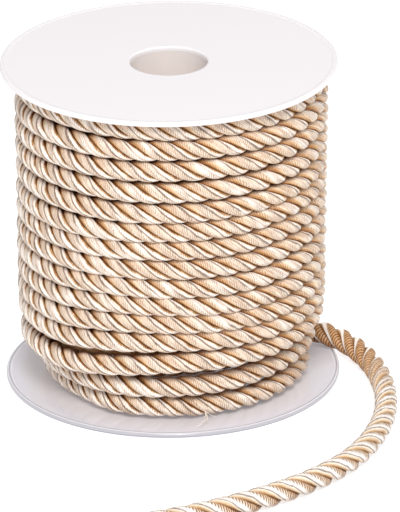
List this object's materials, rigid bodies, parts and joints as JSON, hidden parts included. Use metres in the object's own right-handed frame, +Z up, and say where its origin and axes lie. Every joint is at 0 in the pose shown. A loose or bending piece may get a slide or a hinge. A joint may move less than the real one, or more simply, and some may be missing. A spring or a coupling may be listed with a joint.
{
  "type": "twisted cord on a spool",
  "caption": "Twisted satin cord wound in layers on a plastic spool with thin round flanges, its taped loose end curving round to the front.",
  "frame": {"origin": "centre of the spool's underside, on the surface that the spool stands on", "axes": "+Z up along the spool's axis, +X to the right and -Y to the front, where the loose end lies"},
  "size_m": [0.0932, 0.1413, 0.08],
  "materials": {
    "flange": "smooth translucent white",
    "tube": "dull beige",
    "cord": "champagne satin yarn with bright highlights",
    "tape": "clear adhesive tape"
  },
  "bodies": {
    "root": {"flange_bottom": "flange", "flange_top": "flange", "core_tube": "tube", "cord_winding": "cord", "cord_end": "cord", "end_sleeve": "tape"}
  },
  "joints": []
}
